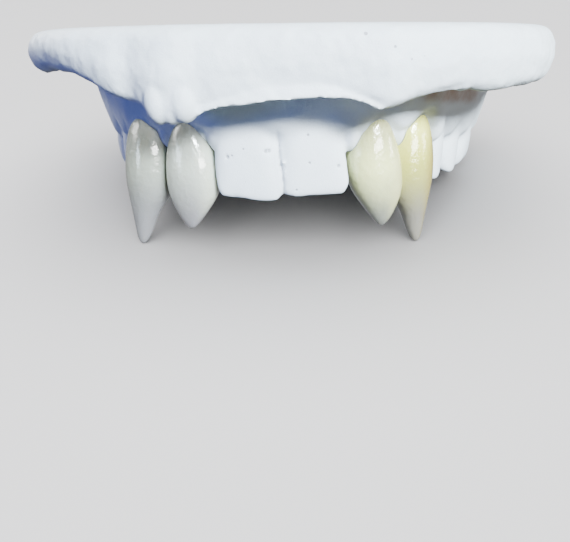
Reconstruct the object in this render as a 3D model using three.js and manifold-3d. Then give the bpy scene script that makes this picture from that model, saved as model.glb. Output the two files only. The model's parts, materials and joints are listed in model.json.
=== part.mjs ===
// Four fang caps on an upper dental cast, teeth down. The cast is one casting of dental stone: a rough base
// with a border rim, the gum ridge, the palate and the teeth. A hollow cap sits on each lateral incisor and
// each canine. Everything is drawn in the frame of the cast (x across, y back, z up to the base, z 0 at the
// biting plane, y 0 at the front of the central incisors) and then leant back until it stands on the tips of
// the long fangs and on a rear molar. All sizes are in millimetres.
import * as THREE from "three";
import { mergeVertices } from "three/addons/utils/BufferGeometryUtils.js";
import Module from "manifold-3d";

const wasm = await Module();
wasm.setup();

// The dental arch: the curve that the outer faces of the teeth follow, from the midline to the last molar.
const archHalfWidth = 31;
const archDepth = 47;
const archSquarenessLeft = 2.6;
const archSquarenessRight = 2.34;

// The waist of the arch behind the canines: how far it keeps in, where it starts and ends as shares of the
// arch's depth, and how far forward its deepest place is (1 is halfway).
const archWaist = 2;
const waistStart = 0.16;
const waistEnd = 0.72;
const waistSkew = 0.55;

// The crowns of bare stone, how far a crown stays from the next one, and how deep behind its face a crown or
// cap is widest, as a share of its thickness.
const centralWidth = 8.75;
const centralHeight = 11.6;
const centralThickness = 6.6;
const centralNeckLean = 1;
const leftCentralExtra = 0.6;
const premolarWidth = 6.9;
const premolarHeight = 8;
const premolarThickness = 8.6;
const firstMolarWidth = 10.2;
const secondMolarWidth = 9.4;
const molarHeight = 7.4;
const molarThickness = 10.6;
const cuspHeight = 1.5;
const rearEdge = 0.1;
const crownGap = 0.1;
const widestDepth = 0.42;

// The places that the capped teeth take along the arch, and the stumps that stand in them.
const lateralPlace = 7.8;
const caninePlace = 8.2;
const lateralStumpWidth = 5.2;
const lateralStumpHeight = 8.6;
const lateralStumpThick = 4.8;
const canineStumpWidth = 4.6;
const canineStumpHeight = 10.4;
const canineStumpThick = 5.8;
const stumpRoot = 1.2;

// The caps. capWall is the thickness at the face, from the cap's outer shape to its stump.
const capWall = 1.3;
const capSquareness = 2.2;
const capClearance = 0.3;
const neighbourGap = 0.3;
const capTop = 10.4;
const capProud = 2;
const capSway = 0.8;
const lateralCapWidth = 7.7;
const lateralCapThickness = 7.2;
const lateralCapDrop = 4.6;
const canineCapWidth = 7.8;
const canineCapThickness = 8;
const canineCapDrop = 7.6;

// The gum ridge. Its flare grows between two shares of the arch's length. The tuberosity is its rounded end
// behind the last molar.
const gumLine = 10;
const papillaDrop = 2;
const gumBulge = 0.6;
const gumFlareFront = 1.3;
const gumFlareRear = 2.3;
const gumPalatalReach = 10;
const tuberosity = 4;
const tuberosityStations = [0, 0.4, 0.75, 1];
const tuberosityTaper = 0.84;
const gumFlareStart = 0.2;
const gumFlareEnd = 0.7;

// The papillae, the wedges of gum that fill the corners between the necks of the front teeth.
const papillaHalfWidth = 1.5;
const papillaHalfDepth = 2.6;
const papillaHalfHeight = 2.8;
const papillaInset = 3.2;
const papillaLevel = 0.86 * gumLine;

// The base.
const baseHalfWidth = 36.5;
const baseFront = 8;
const baseBack = 51;
const baseFrontSquareness = 2.25;
const baseBackSquareness = 6;
const baseTop = 21;
const baseEdgeBevel = 1.2;
const sulcusHeight = 14.6;
const sulcusSlope = 1.6;
const sulcusRise = 1;
const rimThickness = 4.2;
const rimHang = 4.4;
const rimSwell = 1.4;
const wallBulge = 0.2;
const palateHeight = 15.8;
const palateFall = 0.6;

// How finely the curved shapes are cut, and how many times the lean is worked out.
const archSteps = 2000;
const gumStationsFront = 7;
const gumStationsRear = 4;
const baseStations = 72;
const baseFrontDensity = 0.55;
const centralSides = 20;
const papillaSides = 10;
const rearToothSides = 16;
const stumpSides = 14;
const capSides = 24;
const leanRounds = 8;

// Sections of the crowns. down is how far down the crown a section is, from the gum end to the biting edge.
// wide is a share of the crown's width, and outer and inner are the depths of its two faces as shares of its
// thickness. cusp is how much of the cusps' height shows.
const incisorSections = [
  { down: -0.2, wide: 0.62, outer: 0.3, inner: 0.85, cusp: 0 },
  { down: 0.0, wide: 0.76, outer: 0.12, inner: 1.0, cusp: 0 },
  { down: 0.2, wide: 0.89, outer: 0.02, inner: 0.97, cusp: 0 },
  { down: 0.45, wide: 0.97, outer: 0.0, inner: 0.75, cusp: 0 },
  { down: 0.72, wide: 1.0, outer: 0.02, inner: 0.48, cusp: 0 },
  { down: 0.9, wide: 0.985, outer: 0.05, inner: 0.33, cusp: 0 },
  { down: 0.975, wide: 0.93, outer: 0.09, inner: 0.27, cusp: 0 },
  { down: 1.0, wide: 0.82, outer: 0.13, inner: 0.22, cusp: 0 },
];
const stumpSections = [
  { down: -0.2, wide: 0.6, outer: 0.2, inner: 0.88, cusp: 0 },
  { down: 0.1, wide: 0.74, outer: 0.08, inner: 1.0, cusp: 0 },
  { down: 0.42, wide: 1.0, outer: 0.02, inner: 0.86, cusp: 0 },
  { down: 0.75, wide: 0.84, outer: 0.1, inner: 0.62, cusp: 0 },
  { down: 1.0, wide: 0.46, outer: 0.22, inner: 0.44, cusp: 0 },
];
const premolarSections = [
  { down: -0.25, wide: 0.64, outer: 0.14, inner: 0.84, cusp: 0 },
  { down: 0.05, wide: 0.8, outer: 0.05, inner: 0.95, cusp: 0 },
  { down: 0.35, wide: 0.96, outer: 0.0, inner: 1.0, cusp: 0 },
  { down: 0.62, wide: 1.0, outer: 0.02, inner: 0.98, cusp: 0.1 },
  { down: 0.78, wide: 0.86, outer: 0.04, inner: 0.92, cusp: 0.7 },
  { down: 0.85, wide: 0.56, outer: 0.09, inner: 0.85, cusp: 1 },
  { down: 0.76, wide: 0.26, outer: 0.38, inner: 0.64, cusp: 0.2 },
];
const molarSections = [
  { down: -0.25, wide: 0.76, outer: 0.12, inner: 0.86, cusp: 0 },
  { down: 0.05, wide: 0.88, outer: 0.04, inner: 0.95, cusp: 0 },
  { down: 0.35, wide: 0.97, outer: 0.0, inner: 1.0, cusp: 0 },
  { down: 0.6, wide: 1.0, outer: 0.02, inner: 0.98, cusp: 0.1 },
  { down: 0.76, wide: 0.91, outer: 0.04, inner: 0.93, cusp: 0.6 },
  { down: 0.83, wide: 0.7, outer: 0.09, inner: 0.86, cusp: 1 },
  { down: 0.73, wide: 0.34, outer: 0.34, inner: 0.66, cusp: 0.1 },
];

// Sections of the caps. down is the place from the top to the tip, near and away are the reaches towards the
// midline and away from it as shares of half the cap's width, and outer and inner are the depths of the two
// faces as shares of the cap's thickness.
const lateralCapSections = [
  { down: 0.0, near: 0.04, away: 0.04, outer: 0.19, inner: 0.25 },
  { down: 0.015, near: 0.22, away: 0.22, outer: 0.135, inner: 0.31 },
  { down: 0.06, near: 0.4, away: 0.42, outer: 0.095, inner: 0.42 },
  { down: 0.13, near: 0.58, away: 0.6, outer: 0.06, inner: 0.58 },
  { down: 0.22, near: 0.78, away: 0.78, outer: 0.033, inner: 0.78 },
  { down: 0.33, near: 0.94, away: 0.93, outer: 0.01, inner: 0.95 },
  { down: 0.48, near: 1.0, away: 1.0, outer: 0.0, inner: 0.98 },
  { down: 0.62, near: 0.96, away: 0.97, outer: 0.02, inner: 0.88 },
  { down: 0.72, near: 0.82, away: 0.85, outer: 0.045, inner: 0.76 },
  { down: 0.81, near: 0.62, away: 0.66, outer: 0.08, inner: 0.64 },
  { down: 0.89, near: 0.42, away: 0.46, outer: 0.12, inner: 0.52 },
  { down: 0.95, near: 0.26, away: 0.29, outer: 0.16, inner: 0.43 },
  { down: 0.985, near: 0.14, away: 0.15, outer: 0.2, inner: 0.35 },
  { down: 1.0, near: 0.03, away: 0.03, outer: 0.25, inner: 0.28 },
];
const canineCapSections = [
  { down: 0.0, near: 0.04, away: 0.04, outer: 0.25, inner: 0.31 },
  { down: 0.012, near: 0.24, away: 0.24, outer: 0.185, inner: 0.36 },
  { down: 0.05, near: 0.44, away: 0.46, outer: 0.125, inner: 0.47 },
  { down: 0.11, near: 0.64, away: 0.69, outer: 0.08, inner: 0.63 },
  { down: 0.19, near: 0.8, away: 0.88, outer: 0.045, inner: 0.85 },
  { down: 0.32, near: 0.9, away: 1.0, outer: 0.012, inner: 1.0 },
  { down: 0.47, near: 0.9, away: 0.98, outer: 0.0, inner: 0.95 },
  { down: 0.58, near: 0.82, away: 0.86, outer: 0.025, inner: 0.82 },
  { down: 0.66, near: 0.66, away: 0.68, outer: 0.04, inner: 0.65 },
  { down: 0.74, near: 0.49, away: 0.52, outer: 0.055, inner: 0.52 },
  { down: 0.82, near: 0.38, away: 0.4, outer: 0.075, inner: 0.44 },
  { down: 0.9, near: 0.3, away: 0.31, outer: 0.09, inner: 0.37 },
  { down: 0.96, near: 0.2, away: 0.21, outer: 0.105, inner: 0.3 },
  { down: 0.99, near: 0.11, away: 0.12, outer: 0.135, inner: 0.25 },
  { down: 1.0, near: 0.03, away: 0.03, outer: 0.17, inner: 0.2 },
];

// The gum's outline round the ridge, from inside the ridge out and back. deep is a share of the ridge's
// thickness, flare of the gum's flare, reach of the palatal reach, and up of the way from margin to sulcus.
const gumSections = [
  { deep: 0.45, flare: 0, reach: 0, up: 0.03 },
  { deep: 0.06, flare: 0, reach: 0, up: 0 },
  { deep: 0, flare: 0.16, reach: 0, up: 0.06 },
  { deep: 0, flare: 0.5, reach: 0, up: 0.35 },
  { deep: 0, flare: 1, reach: 0, up: 1 },
  { deep: 0, flare: 1, reach: 0, up: 1.5 },
  { deep: 0, flare: 0, reach: 1.06, up: 1.5 },
  { deep: 0, flare: 0, reach: 1, up: 0.85 },
  { deep: 0.62, flare: 0, reach: 0.42, up: 0.5 },
  { deep: 1.02, flare: 0, reach: 0, up: 0.14 },
];

// The border rim, by bearing from straight ahead in degrees (negative to the left, seen from the middle of
// the base). hang is how far its lower edge hangs below the sulcus height, as a share of the rim's hang, and
// swell how far the wall swells out, as a share of the rim's swell.
const rimSections = [
  { bearing: -180, hang: -0.11, swell: 0 },
  { bearing: -128, hang: -0.11, swell: 0 },
  { bearing: -100, hang: -0.2, swell: 0.36 },
  { bearing: -76, hang: -0.14, swell: 0.64 },
  { bearing: -60, hang: -0.27, swell: 0.21 },
  { bearing: -50, hang: -0.16, swell: 0.43 },
  { bearing: -44, hang: 0.09, swell: 0.57 },
  { bearing: -37, hang: 0.5, swell: 0.64 },
  { bearing: -31.5, hang: 0.59, swell: 0.07 },
  { bearing: -28, hang: 1, swell: 0.79 },
  { bearing: -23, hang: 1, swell: 1 },
  { bearing: -16, hang: 0.64, swell: 0.29 },
  { bearing: -4, hang: 0.51, swell: 0 },
  { bearing: 5, hang: 0.36, swell: 0 },
  { bearing: 12, hang: 0.33, swell: 0.07 },
  { bearing: 18, hang: 0.48, swell: 0.29 },
  { bearing: 24, hang: 0.75, swell: 0.64 },
  { bearing: 31, hang: 0.45, swell: 0.36 },
  { bearing: 40, hang: 0.27, swell: 0.14 },
  { bearing: 47, hang: 0.36, swell: 0.43 },
  { bearing: 66, hang: 0.25, swell: 0.57 },
  { bearing: 90, hang: 0, swell: 0.21 },
  { bearing: 128, hang: -0.11, swell: 0 },
  { bearing: 180, hang: -0.11, swell: 0 },
];

// The base's profile, from the flat top out and down the wall, round the rim and in under the palate. inset
// is in millimetres from the plan outline, share is a share of the sulcus outline, and z is the height.
const sulcusInset = rimThickness + sulcusSlope;
const rimEdge = (hang) => sulcusHeight - rimHang * hang;
const baseProfile = [
  { inset: baseEdgeBevel, swell: 0.4, share: 1, z: () => baseTop },
  { inset: 0, swell: 0.6, share: 1, z: () => baseTop - baseEdgeBevel },
  { inset: -wallBulge, swell: 1, share: 1, z: (hang) => (baseTop + rimEdge(hang)) / 2 },
  { inset: rimThickness * 0.12, swell: 0.9, share: 1, z: (hang) => rimEdge(hang) + rimThickness * 0.22 },
  { inset: rimThickness * 0.45, swell: 0.6, share: 1, z: rimEdge },
  { inset: rimThickness * 0.85, swell: 0.2, share: 1, z: (hang) => rimEdge(hang) + rimThickness * 0.25 },
  { inset: sulcusInset, swell: 0, share: 1, z: (hang) => Math.max(sulcusHeight, rimEdge(hang)) + sulcusRise },
  { inset: sulcusInset, swell: 0, share: 0.55, z: () => palateHeight - palateFall },
  { inset: sulcusInset, swell: 0, share: 0.25, z: () => palateHeight },
];

// A value between the rows of a table, eased so that the rows join smoothly.
function between(rows, key, at, column) {
  const high = rows.findIndex((row) => row[key] >= at);
  if (high <= 0) return rows[high < 0 ? rows.length - 1 : 0][column];
  const low = rows[high - 1];
  const share = (at - low[key]) / (rows[high][key] - low[key]);
  return THREE.MathUtils.lerp(low[column], rows[high][column], THREE.MathUtils.smoothstep(share, 0, 1));
}

// How much of its waist the arch has at a share of its depth.
function waistAt(depth) {
  const share = THREE.MathUtils.clamp((depth - waistStart) / (waistEnd - waistStart), 0, 1);
  return archWaist * Math.sin(Math.PI * share ** waistSkew) ** 2;
}

// The arch of one side as points with their distance from the midline.
function archSide(squareness) {
  const points = [];
  for (let i = 0; i <= archSteps; i++) {
    const turn = (Math.PI / 2) * (i / archSteps);
    const y = archDepth * (1 - Math.cos(turn) ** (2 / squareness));
    const x = archHalfWidth * Math.sin(turn) ** (2 / squareness) - waistAt(y / archDepth);
    const before = points[i - 1];
    const run = before ? before.run + Math.hypot(x - before.x, y - before.y) : 0;
    points.push({ x, y, run });
  }
  return points;
}
const archLeft = archSide(archSquarenessLeft);
const archRight = archSide(archSquarenessRight);

// The place on the arch at a distance from the midline, with its outward direction.
function onArch(side, run) {
  const points = side < 0 ? archLeft : archRight;
  const last = points[archSteps];
  if (run >= last.run) return { side, x: side * last.x, y: last.y + run - last.run, outX: side, outY: 0 };
  const high = points.findIndex((point) => point.run > run);
  const a = points[high - 1];
  const b = points[high];
  const length = b.run - a.run;
  return {
    side,
    x: side * THREE.MathUtils.lerp(a.x, b.x, (run - a.run) / length),
    y: THREE.MathUtils.lerp(a.y, b.y, (run - a.run) / length),
    outX: (side * (b.y - a.y)) / length,
    outY: -(b.x - a.x) / length,
  };
}

// A point beside the arch: across is along it away from the midline, out is outwards.
function besideArch(place, across, out, z) {
  const x = place.x + place.outX * out - place.side * place.outY * across;
  const y = place.y + place.outY * out + place.side * place.outX * across;
  return new THREE.Vector3(x, y, z);
}

// A closed body through rings of as many points each, with both ends closed to their middle.
function loft(rings) {
  const sides = rings[0].length;
  const last = rings.length - 1;
  const middle = (ring) => ring.reduce((sum, p) => sum.add(p), new THREE.Vector3()).divideScalar(sides);
  const points = [...rings.flat(), middle(rings[0]), middle(rings[last])];
  const index = [];
  for (let k = 0; k < sides; k++) {
    const next = (k + 1) % sides;
    index.push(points.length - 2, next, k);
    for (let r = 0; r < last; r++) {
      const low = r * sides;
      const high = low + sides;
      index.push(low + k, low + next, high + k, high + k, low + next, high + next);
    }
    index.push(points.length - 1, last * sides + k, last * sides + next);
  }
  const geometry = new THREE.BufferGeometry().setFromPoints(points);
  geometry.setIndex(index);
  return geometry;
}

// The geometry as a solid that faces out, for joining and cutting.
function solid(geometry) {
  const merged = mergeVertices(geometry, 1e-4);
  const vertProperties = merged.attributes.position.array;
  const build = (triVerts) => new wasm.Manifold(new wasm.Mesh({ numProp: 3, vertProperties, triVerts }));
  const triVerts = new Uint32Array(merged.index.array);
  const made = build(triVerts);
  return made.volume() > 0 ? made : build(triVerts.reverse());
}

// The largest body of a cut, without the crumbs beside it.
function largest(cut) {
  return cut.decompose().reduce((a, b) => (b.volume() > a.volume() ? b : a));
}

function geometryOf(made) {
  const mesh = made.getMesh();
  const geometry = new THREE.BufferGeometry();
  geometry.setAttribute("position", new THREE.BufferAttribute(new Float32Array(mesh.vertProperties), 3));
  geometry.setIndex(new THREE.BufferAttribute(new Uint32Array(mesh.triVerts), 1));
  geometry.computeVertexNormals();
  return geometry;
}

// One section of a tooth or cap: a rounded outline between its four reaches. Angle 0 is away from the
// midline and a quarter turn is outwards.
function ovalRing(place, sides, squareness, reach, height) {
  const middle = THREE.MathUtils.lerp(reach.outer, reach.inner, widestDepth);
  const rounded = (value) => Math.sign(value) * Math.abs(value) ** (2 / squareness);
  const ring = [];
  for (let k = 0; k < sides; k++) {
    const turn = (2 * Math.PI * k) / sides;
    const c = rounded(Math.cos(turn));
    const s = rounded(Math.sin(turn));
    const across = c * (c > 0 ? reach.away : reach.near) + reach.shift;
    const out = middle + s * (s > 0 ? reach.outer - middle : middle - reach.inner);
    ring.push(besideArch(place, across, out, height(turn)));
  }
  return ring;
}

// The two kinds of cap.
const capKinds = {
  lateral: {
    width: lateralCapWidth,
    thickness: lateralCapThickness,
    drop: lateralCapDrop,
    sections: lateralCapSections,
  },
  canine: {
    width: canineCapWidth,
    thickness: canineCapThickness,
    drop: canineCapDrop,
    sections: canineCapSections,
  },
};

// The four caps. top is the height of its top as a share of the caps' top, tip how far its tip hangs below
// the biting plane as a share of its kind's drop, proud how far its face stands out from the arch as a share
// of the caps', and the leans how far its top and tip lean away from the midline as shares of the caps' sway.
const capRows = [
  { side: -1, tooth: "lateral", top: 0.925, tip: 1, proud: 0.45, topLean: 0.9, tipLean: 0.6 },
  { side: -1, tooth: "canine", top: 0.95, tip: 1, proud: 1, topLean: 0.1, tipLean: 1 },
  { side: 1, tooth: "lateral", top: 0.97, tip: 0.935, proud: 0.45, topLean: -0.25, tipLean: 0.9 },
  { side: 1, tooth: "canine", top: 1, tip: 0.985, proud: 0.3, topLean: -1, tipLean: -0.4 },
];
const caps = capRows.map((row) => {
  const kind = capKinds[row.tooth];
  return {
    ...kind,
    ...row,
    top: capTop * row.top,
    tip: -kind.drop * row.tip,
    proud: capProud * row.proud,
    topLean: capSway * row.topLean,
    tipLean: capSway * row.tipLean,
  };
});

// How far a cap's section at a height leans along the arch, away from the midline.
function capLean(cap, z) {
  const down = (cap.top - z) / (cap.top - cap.tip);
  return THREE.MathUtils.lerp(cap.topLean, cap.tipLean, THREE.MathUtils.smoothstep(down, 0, 1));
}

// What the teeth of one kind share. thick and high are the crown's thickness and height.
const stump = { squareness: 2.3, cusps: 0, sides: stumpSides, sections: stumpSections };
const lateral = { ...stump, width: lateralStumpWidth, thick: lateralStumpThick, high: lateralStumpHeight };
const canine = { ...stump, width: canineStumpWidth, thick: canineStumpThick, high: canineStumpHeight };
const central = {
  thick: centralThickness,
  high: centralHeight,
  squareness: 3.2,
  cusps: 0,
  sides: centralSides,
  sections: incisorSections,
};
const premolar = {
  thick: premolarThickness,
  high: premolarHeight,
  squareness: 2.5,
  cusps: 2,
  sides: rearToothSides,
  sections: premolarSections,
};
const molar = {
  thick: molarThickness,
  high: molarHeight,
  squareness: 3,
  cusps: 4,
  sides: rearToothSides,
  sections: molarSections,
};

// The teeth of one side from the midline back. takes is the length of arch of a tooth, gum the height of its
// gum line as a share of the front one, and dip how far the gum comes down beside it as a share of the drop.
const teeth = [
  { name: "central", takes: centralWidth, gum: 1, dip: 1, ...central },
  { name: "lateral", takes: lateralPlace, gum: 0.99, dip: 1, ...lateral },
  { name: "canine", takes: caninePlace, gum: 1.04, dip: 1.1, ...canine },
  { name: "first_premolar", takes: premolarWidth, gum: 0.82, dip: 1.1, ...premolar },
  { name: "second_premolar", takes: premolarWidth, gum: 0.76, dip: 1.1, ...premolar },
  { name: "first_molar", takes: firstMolarWidth, gum: 0.7, dip: 1.1, ...molar },
  { name: "second_molar", takes: secondMolarWidth, gum: 0.67, dip: 1.1, ...molar },
];
let archEnd = 0;
for (const tooth of teeth) {
  const isStump = tooth.sections === stumpSections;
  tooth.width = isStump ? tooth.width : tooth.takes - crownGap;
  tooth.edge = isStump ? tooth.gum * gumLine + stumpRoot - tooth.high : tooth.cusps && rearEdge;
  tooth.run = archEnd + tooth.takes / 2;
  archEnd += tooth.takes;
}
const toothNamed = (name) => teeth.find((tooth) => tooth.name === name);

// A crown of stone. A stump follows its cap. grow swells the crown, to cut the room for a cap that clears it.
function crown(side, tooth, grow = 0) {
  const place = onArch(side, tooth.run);
  const cap = caps.find((other) => other.side === side && other.tooth === tooth.name);
  const isCentral = tooth.name === "central";
  const extra = isCentral && side < 0 ? leftCentralExtra : 0;
  const face = cap ? cap.proud - capWall : 0;
  const firstCusp = Math.PI / tooth.cusps;
  const rings = tooth.sections.map((row) => {
    const down = Math.max(row.down, 0);
    const level = tooth.edge + tooth.high * (1 - row.down) - grow * down;
    const neckLean = isCentral ? -side * centralNeckLean * (1 - down) : 0;
    const half = (tooth.width / 2) * row.wide + grow;
    const reach = {
      near: half,
      away: half,
      shift: cap ? capLean(cap, level) : neckLean,
      outer: face - tooth.thick * row.outer + grow,
      inner: face - tooth.thick * row.inner - grow,
    };
    const height = (turn) => {
      const peak = tooth.cusps ? 0.5 + 0.5 * Math.cos(tooth.cusps * (turn - firstCusp)) : 0;
      const slant = extra * down * (0.5 - 0.5 * Math.cos(turn));
      return level - slant - cuspHeight * row.cusp * peak;
    };
    return ovalRing(place, tooth.sides, tooth.squareness, reach, height);
  });
  return solid(loft(rings));
}

// How near a distance along the arch is to the middle of its tooth (1) or to the contact beside it (0).
function middleness(run) {
  const distance = Math.min(run, archEnd);
  const tooth = teeth.find((t) => distance <= t.run + t.takes / 2 + 1e-9);
  return 0.5 + 0.5 * Math.cos((2 * Math.PI * (distance - tooth.run)) / tooth.takes);
}

// The stations of the gum ridge along one side, closer at the front.
const gumRuns = [];
for (const tooth of teeth) {
  const stations = tooth.cusps ? gumStationsRear : gumStationsFront;
  for (let k = 0; k < stations; k++) gumRuns.push(tooth.run + tooth.takes * (k / stations - 0.5));
}
for (const share of tuberosityStations) gumRuns.push(archEnd + tuberosity * share);

// The gum ridge, swept round the arch. Its margin rises over each tooth and dips between teeth, and it
// closes to a rounded end behind the last molar. grow swells it.
function gumRidge(grow = 0) {
  const ring = (side, run) => {
    const place = onArch(side, run);
    const middle = middleness(run);
    const past = Math.max(0, run - archEnd) / tuberosity;
    const close = Math.sqrt(1 - tuberosityTaper * past * past);
    const dip = papillaDrop * between(teeth, "run", run, "dip") * (1 - middle);
    const margin = gumLine * between(teeth, "run", run, "gum") - dip;
    const rise = sulcusHeight - margin;
    const rearness = THREE.MathUtils.smoothstep(run, gumFlareStart * archEnd, gumFlareEnd * archEnd);
    const flare = THREE.MathUtils.lerp(gumFlareFront, gumFlareRear, rearness) + gumBulge * middle;
    const thick = THREE.MathUtils.lerp(centralThickness, molarThickness, rearness);
    const centreOut = -thick / 2;
    return gumSections.map((row) => {
      const outwards = flare * row.flare - thick * row.deep - gumPalatalReach * row.reach - centreOut;
      const upwards = margin + rise * row.up - sulcusHeight;
      const away = Math.hypot(outwards, upwards);
      const swell = close + grow / away;
      return besideArch(place, 0, centreOut + outwards * swell, sulcusHeight + upwards * swell);
    });
  };
  const left = gumRuns.slice(1).map((run) => ring(-1, run));
  const right = gumRuns.map((run) => ring(1, run));
  return solid(loft([...left.reverse(), ...right]));
}

// The papilla on the far side of a front tooth. grow swells it.
function papilla(side, tooth, grow = 0) {
  const place = onArch(side, tooth.run + tooth.takes / 2);
  const middle = besideArch(place, 0, -papillaInset, papillaLevel);
  const across = new THREE.Vector3(place.outY, -place.outX, 0).multiplyScalar(papillaHalfWidth + grow);
  const out = new THREE.Vector3(place.outX, place.outY, 0).multiplyScalar(papillaHalfDepth + grow);
  const up = new THREE.Vector3(0, 0, papillaHalfHeight + grow);
  const geometry = new THREE.SphereGeometry(1, papillaSides, papillaSides / 2);
  geometry.deleteAttribute("normal");
  geometry.deleteAttribute("uv");
  return solid(geometry.applyMatrix4(new THREE.Matrix4().makeBasis(across, out, up).setPosition(middle)));
}

// The base: one ring of points for each row of its profile, round the plan outline.
function base() {
  const middleY = (baseBack - baseFront) / 2;
  const halfDepth = (baseBack + baseFront) / 2;
  const rings = baseProfile.map((row) => {
    const ring = [];
    for (let k = 0; k < baseStations; k++) {
      const u = (2 * k) / baseStations - 1;
      const bearing = 180 * (baseFrontDensity * u + (1 - baseFrontDensity) * u ** 3);
      const dx = Math.sin(THREE.MathUtils.degToRad(bearing));
      const dy = -Math.cos(THREE.MathUtils.degToRad(bearing));
      const squareness = dy > 0 ? baseBackSquareness : baseFrontSquareness;
      const across = Math.abs(dx / baseHalfWidth) ** squareness;
      const along = Math.abs(dy / halfDepth) ** squareness;
      const hang = between(rimSections, "bearing", bearing, "hang");
      const swell = rimSwell * between(rimSections, "bearing", bearing, "swell") * row.swell;
      const out = ((across + along) ** (-1 / squareness) + swell - row.inset) * row.share;
      ring.push(new THREE.Vector3(dx * out, middleY + dy * out, row.z(hang)));
    }
    return ring;
  });
  return solid(loft(rings));
}

// A fang cap before it is hollowed. grow swells it, to cut its neighbour back.
function capBody(cap, grow = 0) {
  const place = onArch(cap.side, toothNamed(cap.tooth).run);
  const rings = cap.sections.map((row) => {
    const reach = {
      near: (cap.width / 2) * row.near + grow,
      away: (cap.width / 2) * row.away + grow,
      shift: capLean(cap, THREE.MathUtils.lerp(cap.top, cap.tip, row.down)),
      outer: cap.proud - cap.thickness * row.outer + grow,
      inner: cap.proud - cap.thickness * row.inner - grow,
    };
    const level = THREE.MathUtils.lerp(cap.top + grow, cap.tip - grow, row.down);
    return ovalRing(place, capSides, capSquareness, reach, () => level);
  });
  return solid(loft(rings));
}

let stone = base().add(gumRidge());
let room = gumRidge(capClearance);
for (const side of [-1, 1]) {
  for (const tooth of teeth) {
    stone = stone.add(crown(side, tooth));
    if (tooth.run < archEnd / 2) room = room.add(crown(side, tooth, capClearance));
    if (tooth.cusps) continue;
    stone = stone.add(papilla(side, tooth));
    room = room.add(papilla(side, tooth, capClearance));
  }
}

const stoneMaterial = new THREE.MeshStandardMaterial({ color: 0xeef1f4, roughness: 0.85, metalness: 0 });
const cast = new THREE.Group();
cast.name = "cast_with_fangs";
function addMesh(name, made, material) {
  const mesh = new THREE.Mesh(geometryOf(largest(made)), material);
  mesh.name = name;
  cast.add(mesh);
}
addMesh("stone_cast", stone, stoneMaterial);

// Each canine cap is cut back from the lateral cap beside it, so that the two keep their gap.
for (const cap of caps) {
  const beside = caps.find((other) => other.side === cap.side && other.tooth === "lateral");
  let made = capBody(cap).subtract(room);
  if (cap.tooth === "canine") made = made.subtract(capBody(beside, neighbourGap));
  const material = new THREE.MeshStandardMaterial({ color: 0xe2dfc8, roughness: 0.22, metalness: 0 });
  addMesh(`${cap.side < 0 ? "left" : "right"}_${cap.tooth}_fang`, made, material);
}

// The lowest point of a mesh once it is turned.
function lowestPoint(name, turn) {
  const positions = cast.getObjectByName(name).geometry.getAttribute("position");
  const point = new THREE.Vector3();
  let lowest = null;
  let level = Infinity;
  for (let i = 0; i < positions.count; i++) {
    point.fromBufferAttribute(positions, i);
    const z = point.clone().applyQuaternion(turn).z;
    if (z < level) {
      level = z;
      lowest = point.clone();
    }
  }
  return lowest;
}

// The cast leant back on its three feet: the tips of the two long fangs and the lowest molar cusp.
const lean = new THREE.Quaternion();
for (let i = 0; i < leanRounds; i++) {
  const [left, right, rear] = ["left_canine_fang", "right_canine_fang", "stone_cast"].map((name) =>
    lowestPoint(name, lean),
  );
  const up = new THREE.Vector3().crossVectors(right.sub(left), rear.sub(left)).normalize();
  lean.setFromUnitVectors(up, new THREE.Vector3(0, 0, 1));
}
cast.quaternion.copy(lean);
cast.updateMatrixWorld();
const bounds = new THREE.Box3().setFromObject(cast, true);
cast.position.set(-(bounds.min.x + bounds.max.x) / 2, -(bounds.min.y + bounds.max.y) / 2, -bounds.min.z);

const part = new THREE.Group();
part.add(cast);

export default part;
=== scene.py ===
# Four glossy fang caps on a white plaster cast of an upper jaw, standing teeth down on a pale table.
import json
import math

import bpy
import numpy as np
from mathutils import Matrix, Vector


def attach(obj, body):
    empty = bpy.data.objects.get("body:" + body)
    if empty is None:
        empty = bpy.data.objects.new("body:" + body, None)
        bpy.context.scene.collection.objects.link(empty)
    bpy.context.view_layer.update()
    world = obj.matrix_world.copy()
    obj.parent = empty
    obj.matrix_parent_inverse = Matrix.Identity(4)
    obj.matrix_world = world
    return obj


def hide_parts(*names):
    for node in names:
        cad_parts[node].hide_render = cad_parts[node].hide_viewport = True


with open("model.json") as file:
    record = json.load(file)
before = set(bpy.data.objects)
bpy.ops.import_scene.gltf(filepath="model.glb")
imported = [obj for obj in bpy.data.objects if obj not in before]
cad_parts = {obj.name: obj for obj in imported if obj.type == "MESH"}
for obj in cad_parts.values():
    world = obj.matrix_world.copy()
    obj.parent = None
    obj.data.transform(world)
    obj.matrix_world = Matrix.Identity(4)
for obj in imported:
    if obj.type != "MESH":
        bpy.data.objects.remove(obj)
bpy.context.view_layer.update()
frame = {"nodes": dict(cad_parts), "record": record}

MM = 0.001
NODES = frame["nodes"]

# The cast's own frame, in which the pieces are drawn: x across, y back and z up, from the biting plane to the
# base. The mount on the flat top of the base gives its lean and its place in the row.
BASE_TOP = 21 * MM
BASE_MIDDLE = 21.5 * MM
mount = frame["record"]["mounts"][0]
LEAN = Vector((0, 0, 1)).rotation_difference(Vector(mount["axis"]))
CAST_TO_ROW = (
    Matrix.Translation(mount["pos_m"])
    @ LEAN.to_matrix().to_4x4()
    @ Matrix.Translation((0, -BASE_MIDDLE, -BASE_TOP))
)
ROW_TO_CAST = CAST_TO_ROW.inverted()

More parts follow.
